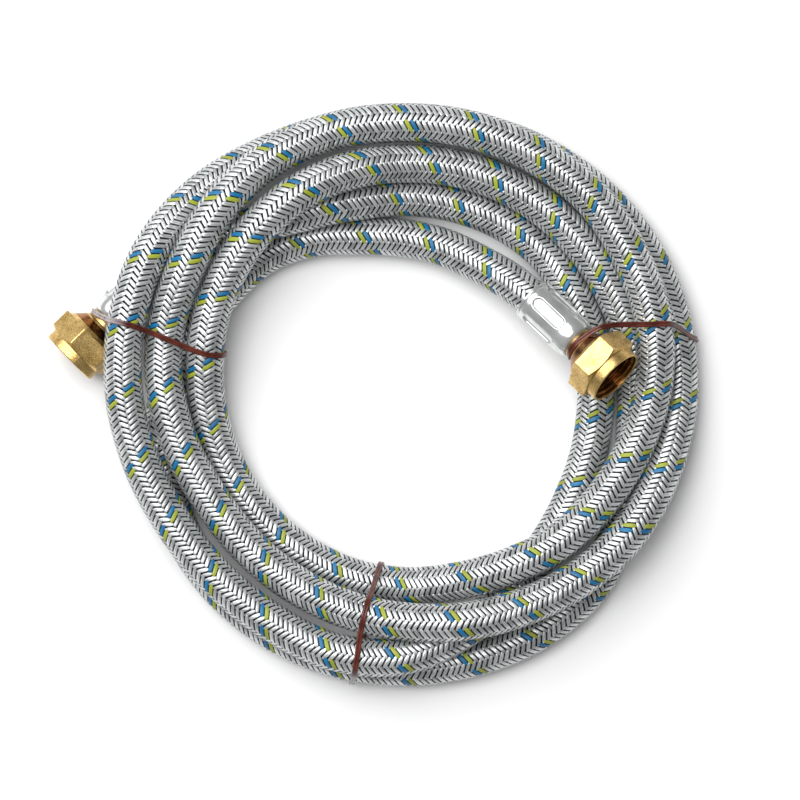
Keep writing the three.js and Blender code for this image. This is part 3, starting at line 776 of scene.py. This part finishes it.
def make_weave():
    """The plain floats in pieces along the hose, and two coloured bundles of one hand."""
    first = FERRULE_END - HOSE_END - WEAVE_TUCK
    edges = np.linspace(first, hose.length - first, SLEEVE_PIECES + 1)
    pieces = []
    tracers = {0: [], 1: []}
    for number, (low, high) in enumerate(zip(edges, edges[1:]), start=1):
        points, bundle, uv, tone = float_patches(1, low, high)
        left_points, _, left_uv, left_tone = float_patches(-1, low, high)
        plain = bundle > 1
        parts = [(points[plain], uv[plain], tone[plain]), (left_points, left_uv, left_tone)]
        pieces.append(add_weave_piece(f"sleeve_weave_{number}", parts, BRAID_WIRE))
        for yarn, kept in tracers.items():
            chosen = bundle == yarn
            kept.append((points[chosen], uv[chosen], tone[chosen]))
    pieces.append(add_weave_piece("tracer_blue", tracers[0], BLUE_YARN))
    pieces.append(add_weave_piece("tracer_green", tracers[1], GREEN_YARN))
    return pieces


tone_source = np.random.default_rng(TONE_SEED)
core = make_core()
weave = make_weave()


# Fittings: closed sections turned round the axis

def turned(fitting, name, section, angle, roll=0.0):
    """A closed section (radius, distance), which may change with the angle, turned right round."""
    radius, distance = section(angle[:, None])
    around = angle[:, None] + roll + 0 * radius
    points = fitting.place(radius, distance + 0 * radius, around)
    return grid_mesh(name, points[None], close_rows=True, close_columns=True)


def even_angles(count):
    return np.arange(count) * 2 * math.pi / count


def hexagon_angles():
    """Angles that fall close on both sides of each corner, for crisp but rounded edges."""
    near = np.radians((-1.5, -0.5, 0.5, 1.5))
    flat = np.radians(np.arange(4, 57, 4))
    sector = np.concatenate([near, flat])
    return np.sort(np.concatenate([sector + k * math.pi / 3 for k in range(6)]))


def line_points(corners, spacing):
    """Straight sides split into steps, without the last corner, as (radius, distance)."""
    points = []
    for start, end in zip(corners, corners[1:]):
        start = np.array(start)
        end = np.array(end)
        count = max(1, int(math.ceil(np.linalg.norm(end - start) / spacing)))
        points += [start + (end - start) * step / count for step in range(count)]
    return points


def section_arrays(points, angle):
    """The section's radii repeated for every angle, and its distances once."""
    radius, distance = np.array(points).T
    return np.broadcast_to(radius, (len(angle), len(radius))).copy(), distance


def smooth_min(a, b, soften):
    """The smaller of two lengths, rounded off where they are nearly the same."""
    blend = np.clip(0.5 + 0.5 * (b - a) / soften, 0, 1)
    return b + (a - b) * blend - soften * blend * (1 - blend)


def nut_outline(hole):
    """The nut's outside, from its mouth to the hole for the neck, before the flats cut it."""
    corner = NUT_FLATS / math.sqrt(3)
    inscribed = NUT_FLATS / 2
    front = [
        (THREAD_ROOT_RADIUS, MOUTH_BEVEL),
        (THREAD_ROOT_RADIUS + NUT_EDGE, 0.0),
        (COLLAR_RADIUS - NUT_EDGE, 0.0),
        (COLLAR_RADIUS, NUT_EDGE),
        (COLLAR_RADIUS, COLLAR_LENGTH),
        (inscribed + HEX_MARGIN, COLLAR_LENGTH + HEX_MARGIN),
        (corner + HEX_MARGIN, COLLAR_LENGTH + NUT_CHAMFER),
        (corner + HEX_MARGIN, HEX_END - HEX_BACK_EDGE),
        (corner - HEX_MARGIN, HEX_END),
        (inscribed - NUT_EDGE, HEX_END + HEX_MARGIN),
    ]
    shoulder = [(radius, HEX_END + past_hexagon) for radius, past_hexagon in NUT_SHOULDER]
    back = [
        (NUT_BACK_RADIUS, NUT_LENGTH - NUT_EDGE),
        (hole + NUT_EDGE, NUT_LENGTH),
        (hole, NUT_LENGTH - NUT_BACK_BEVEL),
    ]
    return front + shoulder + back


def cut_flats(radius, angle):
    """The outside follows the hexagon wherever it would stand out past it."""
    flat = NUT_FLATS / 2 / np.cos(angle % (math.pi / 3) - math.pi / 6)
    outside = radius > THREAD_ROOT_RADIUS + OUTSIDE_MARGIN
    return np.where(outside, smooth_min(radius, flat + 0 * radius, HEX_SOFTENING), radius)


def cut_thread(radius, distance, angle):
    """A screw thread in the mouth's wall, which starts at nothing and grows to full depth."""
    in_bore = np.abs(radius - THREAD_ROOT_RADIUS) < BORE_TOLERANCE
    threaded = in_bore & (distance < WASHER_FRONT) & (distance > THREAD_START)
    phase = (distance / THREAD_PITCH - angle / (2 * math.pi)) % 1
    tooth = np.clip(1.25 - 2.5 * np.abs(phase - 0.5), 0, 1)
    fade = np.clip((distance - THREAD_FADE_START) / THREAD_LEAD_IN, 0, 1)
    depth = (THREAD_ROOT_RADIUS - THREAD_CREST_RADIUS) * tooth * fade
    return np.where(threaded, radius - depth, radius)


def nut_section(angle):
    hole = NECK_RADIUS + INNER_CLEARANCE
    seat = FLANGE_BACK + INNER_CLEARANCE
    inside = [(hole, NUT_LENGTH - NUT_BACK_BEVEL), (hole, seat)]
    inside += [(THREAD_ROOT_RADIUS, seat), (THREAD_ROOT_RADIUS, WASHER_FRONT)]
    mouth = [(THREAD_ROOT_RADIUS, WASHER_FRONT), (THREAD_ROOT_RADIUS, MOUTH_BEVEL)]
    points = line_points(nut_outline(hole), NUT_STEP)
    points += line_points(inside, NUT_INSIDE_STEP)
    points += line_points(mouth, THREAD_STEP)
    radius, distance = section_arrays(points, angle)
    return cut_thread(cut_flats(radius, angle), distance, angle), distance


def washer_section(angle):
    soft = WASHER_EDGE
    corners = [
        (WASHER_HOLE_RADIUS, WASHER_FRONT + soft),
        (WASHER_HOLE_RADIUS + soft, WASHER_FRONT),
        (FLANGE_RADIUS - soft, WASHER_FRONT),
        (FLANGE_RADIUS, WASHER_FRONT + soft),
        (FLANGE_RADIUS, WASHER_BACK - soft),
        (FLANGE_RADIUS - soft, WASHER_BACK),
        (WASHER_HOLE_RADIUS + soft, WASHER_BACK),
        (WASHER_HOLE_RADIUS, WASHER_BACK - soft),
    ]
    return section_arrays(line_points(corners + corners[:1], WASHER_STEP), angle)


def stem_section(angle):
    soft = STEM_EDGE
    bead = NECK_RADIUS + NECK_BEAD_RISE
    tail_start = FERRULE_START - STEM_TAIL_LEAD
    tail_end = HOSE_END + STEM_TAIL_LENGTH
    corners = [
        (STEM_BORE_RADIUS, FLANGE_FRONT + soft),
        (STEM_BORE_RADIUS + soft, FLANGE_FRONT),
        (FLANGE_RADIUS - soft, FLANGE_FRONT),
        (FLANGE_RADIUS, FLANGE_FRONT + soft),
        (FLANGE_RADIUS, FLANGE_BACK - soft),
        (FLANGE_RADIUS - soft, FLANGE_BACK),
        (NECK_RADIUS + soft, FLANGE_BACK),
        (NECK_RADIUS, FLANGE_BACK + soft),
        (NECK_RADIUS, NECK_BEAD_START),
        (bead, NECK_BEAD_START + NECK_BEAD_RAMP),
        (bead, NECK_BEAD_START + NECK_BEAD_LENGTH),
        (NECK_RADIUS, tail_start),
        (STEM_TAIL_RADIUS, tail_start),
        (STEM_TAIL_RADIUS, tail_end),
        (STEM_BORE_RADIUS, tail_end),
    ]
    return section_arrays(line_points(corners + corners[:1], STEM_STEP), angle)


def ferrule_outline():
    """The ferrule's outside: its front, its domed shoulder, its barrel and its wavy lip."""
    nose = FERRULE_NOSE_RADIUS
    points = [(FERRULE_HOLE_RADIUS, FERRULE_START), (nose - NOSE_BEVEL_WIDTH, FERRULE_START)]
    for t in np.linspace(0, math.pi / 2, FERRULE_SHOULDER_POINTS)[1:]:
        radius = nose + (FERRULE_RADIUS - nose) * math.sin(t)
        drop = FERRULE_SHOULDER * (1 - math.cos(t))
        points.append((radius, FERRULE_START + NOSE_BEVEL_LENGTH + drop))
    return points + [
        (FERRULE_RADIUS, FERRULE_END - LIP_WAVE_START),
        (FERRULE_RADIUS - FERRULE_LIP_WAVE, FERRULE_END - LIP_WAVE_LOW),
        (FERRULE_RADIUS + FERRULE_LIP_WAVE, FERRULE_END - LIP_WAVE_HIGH),
        (FERRULE_RADIUS + FERRULE_LIP_FLARE, FERRULE_END),
        (FERRULE_RADIUS - FERRULE_WALL, FERRULE_END),
    ]


def ferrule_inside():
    """The ferrule's inside: the lip's bore, the grip on the sleeve and the front wall."""
    bore = FERRULE_RADIUS - FERRULE_WALL
    grip = HOSE_RADIUS + FERRULE_GRIP_GAP
    front = FERRULE_START + FERRULE_FRONT_WALL
    return [
        (bore, FERRULE_END),
        (bore, FERRULE_END - LIP_BORE_END),
        (grip, FERRULE_END - GRIP_END),
        (grip, front),
        (FERRULE_HOLE_RADIUS, front),
        (FERRULE_HOLE_RADIUS, FERRULE_START),
    ]


def press_recesses(radius, distance, angle):
    """Long recesses with round ends in the barrel, each with a slightly raised rim."""
    step = 2 * math.pi / RECESS_COUNT
    sector = (angle - math.pi / 2 + step / 2) % step - step / 2
    middle = FERRULE_END - RECESS_END_MARGIN - RECESS_LENGTH / 2
    reach = RECESS_LENGTH / 2 - RECESS_WIDTH / 2
    past = np.maximum(np.abs(distance - middle) - reach, 0)
    inside = RECESS_WIDTH / 2 - np.hypot(past, sector * FERRULE_RADIUS)
    wall = np.clip(inside / RECESS_EDGE, 0, 1)
    wall = wall * wall * (3 - 2 * wall)
    rim = np.exp(-((inside + RIM_OFFSET) / RIM_WIDTH) ** 2) * RIM_HEIGHT
    across = np.clip(sector, -RECESS_FLOOR_HALF_ANGLE, RECESS_FLOOR_HALF_ANGLE)
    level = radius * np.cos(across)
    floor = np.minimum(FERRULE_RADIUS - RECESS_DEPTH, level)
    pressed = radius - (FERRULE_RADIUS - floor) * wall + rim
    barrel = (radius > FERRULE_RADIUS - BARREL_DEPTH) & (distance < FERRULE_END - BARREL_END)
    return np.where(barrel, pressed, radius)


def ferrule_section(angle):
    points = line_points(ferrule_outline(), FERRULE_STEP)
    points += line_points(ferrule_inside(), FERRULE_INSIDE_STEP)
    radius, distance = section_arrays(points, angle)
    return press_recesses(radius, distance, angle), distance


def paint_bore(mesh, fitting):
    """The second material, painted shade for the threaded bore, goes on the faces inside the nut."""
    mesh.materials.append(BORE_SHADE)
    for face in mesh.polygons:
        offset = face.center - fitting.mouth
        along = offset.dot(fitting.axis)
        radius = (offset - fitting.axis * along).length
        inside = radius < THREAD_ROOT_RADIUS + PAINT_MARGIN
        if inside and THREAD_START < along < NUT_LENGTH - PAINT_END_MARGIN:
            face.material_index = 1


def dress(fitting, slot, section, angles, body, material, node, roll=0.0):
    """One turned sub-part, named after its slot, in place of a CAD node of this fitting."""
    name = f"{fitting.name}_{slot}_dressed"
    mesh = turned(fitting, name, section, angles, roll)
    return add_object(name, mesh, body, material, (f"{fitting.name}_{node}",))


def make_fitting(fitting):
    nut_body = f"{fitting.name}_nut"
    round_angles = even_angles(ROUND_STEPS)
    fine_angles = even_angles(FERRULE_ROUND_STEPS)
    nut_angles = hexagon_angles()
    nut = dress(fitting, "nut", nut_section, nut_angles, nut_body, BRASS, "union_nut", fitting.nut_roll)
    paint_bore(nut.data, fitting)
    return [
        nut,
        dress(fitting, "washer", washer_section, round_angles, nut_body, WASHER_RUBBER, "seal_washer"),
        dress(fitting, "stem", stem_section, round_angles, "hose", STEM_BRASS, "stem"),
        dress(fitting, "ferrule", ferrule_section, fine_angles, "hose", FERRULE_METAL, "ferrule"),
    ]


fitting_pieces = make_fitting(left) + make_fitting(right)


# Ties: a plastic strap with two ribs, pulled tight round the strands and the fitting's neck

def strand_pulleys(angles):
    """Where the hose passes each of the angles, in order along it: centre, direction, radius."""
    from_eye = hose.points - np.array(COIL_EYE)
    bearing = np.arctan2(from_eye[:, 0], from_eye[:, 1])
    i = int((FERRULE_END - HOSE_END) / FRAME_SPACING)
    pulleys = []
    for degrees in angles:
        offset = np.angle(np.exp(1j * (bearing - math.radians(degrees))))
        before = offset[i:-1]
        passed = np.flatnonzero((before <= 0) & (offset[i + 1:] > 0) & (np.abs(before) < 1))
        i += int(passed[0])
        pulleys.append((hose.points[i], hose.tangent[i], HOSE_RADIUS))
        i += int(round(STRAND_PASS / FRAME_SPACING))
    return pulleys


def convex_outline(flat):
    """Indices of the points on the outline, anticlockwise."""
    order = sorted(range(len(flat)), key=lambda i: (flat[i][0], flat[i][1]))
    sides = []
    for sequence in (order, order[::-1]):
        side = []
        for i in sequence:
            while len(side) >= 2:
                a, b = flat[side[-2]], flat[side[-1]]
                cross = (b[0] - a[0]) * (flat[i][1] - a[1]) - (b[1] - a[1]) * (flat[i][0] - a[0])
                if cross > 0:
                    break
                side.pop()
            side.append(i)
        sides.append(side[:-1])
    return sides[0] + sides[1]


def wrap_points(pulleys, outward):
    """A ring of points round each pulley, square to what it wraps."""
    points = []
    for centre, axis, radius in pulleys:
        for turn in np.arange(TIE_WRAP_POINTS) * 2 * math.pi / TIE_WRAP_POINTS:
            reach = outward * math.cos(turn) + UP * math.sin(turn)
            reach = reach - axis * reach.dot(axis)
            reach /= np.linalg.norm(reach)
            points.append(centre + reach * (radius + TIE_CLEARANCE + TIE_RIB_RADIUS))
    return np.array(points)


def tight_loop(pulleys):
    """The closed line of a tie round its pulleys, from the middle of its longest stretch below."""
    outward = (pulleys[0][0] - np.array(COIL_EYE)) * np.array((1, 1, 0))
    outward /= np.linalg.norm(outward)
    points = wrap_points(pulleys, outward)
    flat = np.stack([points @ outward, points[:, 2]], axis=1)
    outline = convex_outline([tuple(p) for p in flat])
    loop = points[outline]
    steps = np.roll(flat[outline], -1, axis=0) - flat[outline]
    start = int(steps[:, 0].argmax()) + 1
    loop = np.roll(loop, -start, axis=0)
    middle = (loop[0] + loop[-1]) / 2
    return np.vstack([middle, loop, middle]), outward


def straighten(line, along, hold_at):
    """Seen from above the tie runs straight from strand to strand, but not round a neck."""
    reach = TIE_STRAIGHTENING // 2
    kernel = np.ones(TIE_STRAIGHTENING) / TIE_STRAIGHTENING
    place = line @ along
    padded = np.concatenate([place[-reach - 1:-1], place, place[1:reach + 1]])
    change = np.convolve(padded, kernel, "valid") - place
    if hold_at is not None:
        away = np.linalg.norm(line - hold_at, axis=1)
        change *= np.clip((away - TIE_HELD_TO) / (TIE_FREE_FROM - TIE_HELD_TO), 0, 1)
    return line + change[:, None] * along


def smooth_closed(line):
    """A line that ends where it starts, with each point the mean of those round it."""
    kernel = np.ones(TIE_SMOOTHING) / TIE_SMOOTHING
    reach = TIE_SMOOTHING // 2
    padded = np.vstack([line[-reach - 1:-1], line, line[1:reach + 1]])
    return np.stack([np.convolve(padded[:, k], kernel, "valid") for k in range(3)], axis=1)


def tie_section():
    """Two ribs side by side as one outline: across the strap and out of it."""
    angle = np.linspace(-TIE_RIB_WRAP, TIE_RIB_WRAP, TIE_RIB_POINTS)
    across = TIE_RIB_OFFSET + TIE_RIB_RADIUS * np.cos(angle)
    rib = np.stack([across, TIE_RIB_RADIUS * np.sin(angle)], axis=1)
    return np.vstack([rib, -rib])


def sweep(line, strand_way, section):
    """The section carried along the line, with its width along the strands."""
    tangent = np.gradient(line, axis=0)
    tangent /= np.linalg.norm(tangent, axis=1)[:, None]
    outer = np.cross(strand_way, tangent)
    outer -= tangent * np.sum(outer * tangent, axis=1)[:, None]
    outer /= np.linalg.norm(outer, axis=1)[:, None]
    width = np.cross(tangent, outer)
    across = section[None, :, :1] * width[:, None]
    out = section[None, :, 1:] * outer[:, None]
    return line[:, None] + across + out


def tie_mesh(name, pulleys, hold_at, with_sheen):
    loop, outward = tight_loop(pulleys)
    strand_way = np.cross(outward, UP)
    line = smooth_closed(straighten(evenly(loop, TIE_SPACING), strand_way, hold_at))
    gap = int(round(TIE_END_GAP / TIE_SPACING))
    line = line[gap:-gap]
    section = tie_section()
    points = sweep(line, strand_way, section)
    mesh = grid_mesh(name, points[None], close_columns=True)
    from_eye = np.linalg.norm((points - np.array(COIL_EYE))[..., :2], axis=2)
    # Painted highlight: the tie turns grey where it goes round the outside of the coil
    painted_sheen = np.clip((from_eye - TIE_SHEEN_START) / TIE_SHEEN_LENGTH, 0, 1) if with_sheen else 0 * from_eye
    set_point_values(mesh, "painted_sheen", painted_sheen)
    cap_ends(mesh, len(line), len(section))
    return mesh


def cap_ends(mesh, rows, columns):
    """Closes both ends of a swept tube with a face on its own ring."""
    shape = bmesh.new()
    shape.from_mesh(mesh)
    shape.verts.ensure_lookup_table()
    shape.faces.new([shape.verts[i] for i in range(columns)])
    last = (rows - 1) * columns
    shape.faces.new([shape.verts[last + i] for i in reversed(range(columns))])
    bmesh.ops.recalc_face_normals(shape, faces=shape.faces)
    shape.to_mesh(mesh)
    shape.free()


def neck_pulley(fitting):
    return (np.array(fitting.along(NECK_STATION)), np.array(fitting.axis), NECK_RADIUS)


def detour_pulley(fitting):
    """The right tie leaves the neck square to it, past the nut, before it turns to the strands."""
    square = Vector((fitting.axis.y, -fitting.axis.x, 0)).normalized()
    centre = fitting.along(NECK_STATION + RIGHT_TIE_SLANT) + square * RIGHT_TIE_DETOUR
    centre.z += NECK_RADIUS - RIGHT_TIE_DROP
    return (np.array(centre), np.array(fitting.axis), RIGHT_TIE_BEND_RADIUS)


def make_tie(node, pulleys, hold_at=None, with_sheen=False):
    mesh = tie_mesh(f"{node}_dressed", pulleys, hold_at, with_sheen)
    return add_object(f"{node}_dressed", mesh, "hose", TIE_PLASTIC, (node,))


def make_ties():
    left_neck = neck_pulley(left)
    right_neck = neck_pulley(right)
    right_pulleys = strand_pulleys(RIGHT_TIE_ANGLES) + [right_neck, detour_pulley(right)]
    return [
        make_tie("left_tie", strand_pulleys(LEFT_TIE_ANGLES) + [left_neck], left_neck[0], with_sheen=True),
        make_tie("bottom_tie", strand_pulleys(BOTTOM_TIE_ANGLES), with_sheen=True),
        make_tie("right_tie", right_pulleys, right_neck[0]),
    ]


tie_pieces = make_ties()


# Floor, light and backdrop

def floor_material():
    """White to the eye and in reflections; its weak bounce leaves the gaps between strands dark."""
    material, nodes, links, shader = new_material("floor_white")
    shader.inputs["Base Color"].default_value = FLOOR_WHITE
    shader.inputs["Roughness"].default_value = 0.9
    shader.inputs["Specular IOR Level"].default_value = 0.0
    bounce = nodes.new("ShaderNodeBsdfDiffuse")
    bounce.inputs["Color"].default_value = FLOOR_BOUNCE
    rays = nodes.new("ShaderNodeLightPath")
    seen = rays.outputs["Is Camera Ray"]
    for kind in ("Is Glossy Ray", "Is Transmission Ray"):
        seen = add_math(nodes, links, "MAXIMUM", seen, rays.outputs[kind])
    blend = nodes.new("ShaderNodeMixShader")
    links.new(seen, blend.inputs["Fac"])
    links.new(bounce.outputs["BSDF"], blend.inputs[1])
    links.new(shader.outputs["BSDF"], blend.inputs[2])
    links.new(blend.outputs["Shader"], nodes["Material Output"].inputs["Surface"])
    return material


def make_floor():
    bpy.ops.mesh.primitive_plane_add(size=FLOOR_SIZE, location=(0, 0, cad_low.z - FLOOR_DROP))
    floor = bpy.context.object
    floor.name = "floor"
    floor.data.materials.append(floor_material())


def make_world():
    world = bpy.data.worlds.new("studio")
    bpy.context.scene.world = world
    world.use_nodes = True
    background = world.node_tree.nodes["Background"]
    background.inputs["Color"].default_value = (1, 1, 1, 1)
    background.inputs["Strength"].default_value = 0.15


def make_lamp(name, location, size, power):
    data = bpy.data.lights.new(name, "AREA")
    data.shape = "DISK"
    data.size = size
    data.energy = power
    lamp = bpy.data.objects.new(name, data)
    lamp.location = location
    lamp.rotation_euler = (-Vector(location)).to_track_quat("-Z", "Y").to_euler()
    bpy.context.scene.collection.objects.link(lamp)


make_floor()
make_world()
make_lamp("key", location=(-1.0, 1.0, 2.1), size=2.8, power=66)
make_lamp("top", location=(-0.3, 0.3, 2.9), size=2.0, power=40)

bpy.context.scene.view_settings.view_transform = "Standard"
